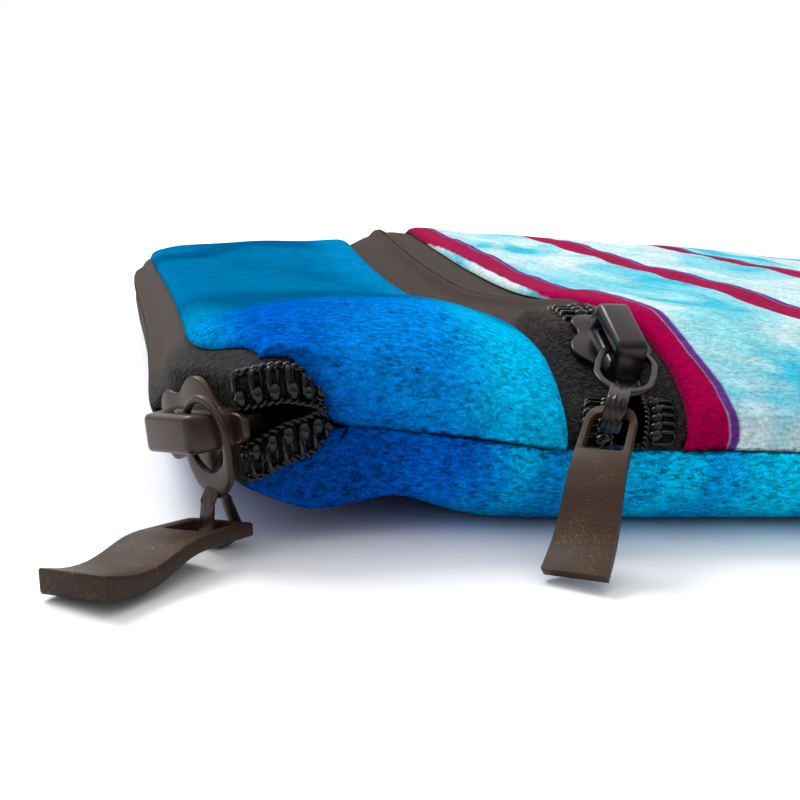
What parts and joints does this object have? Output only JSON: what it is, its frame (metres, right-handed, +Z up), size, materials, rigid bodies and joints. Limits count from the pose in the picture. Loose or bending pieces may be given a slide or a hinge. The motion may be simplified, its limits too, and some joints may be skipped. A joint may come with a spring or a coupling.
{
  "type": "zip pouch",
  "caption": "Flat padded velvet zip pouch in blue washes with a striped front pocket, black coil zips and long metal pull tabs, lying on its back.",
  "frame": {"origin": "on the underside of the back panel, under the middle of the pouch", "axes": "+X from the main zip to the bottom seam, +Y from the side seam where both zips end to the other side seam, +Z up out of the front"},
  "size_m": [0.1841, 0.1817, 0.0228],
  "materials": {
    "blue_velvet": "short soft pile",
    "striped_velvet": "short soft pile",
    "back_velvet": "short soft pile",
    "zip_tape": "woven",
    "zip_coil": "gloss nylon",
    "black_paint": "satin",
    "bronze_paint": "satin with a fine fleck"
  },
  "bodies": {
    "root": {"front_upper_panel": "blue_velvet", "front_pocket_panel": "striped_velvet", "back_panel": "back_velvet", "main_zip_tape_upper": "zip_tape", "main_zip_tape_lower": "zip_tape", "main_zip_coil_upper": "zip_coil", "main_zip_coil_lower": "zip_coil", "pocket_zip_tape_left": "zip_tape", "pocket_zip_tape_right": "zip_tape", "pocket_zip_coil_left": "zip_coil", "pocket_zip_coil_right": "zip_coil", "main_slider": "black_paint", "main_pull_ring": "black_paint", "main_pull_tab": "bronze_paint", "pocket_slider": "black_paint", "pocket_pull_ring": "black_paint", "pocket_pull_tab": "bronze_paint"}
  },
  "joints": []
}
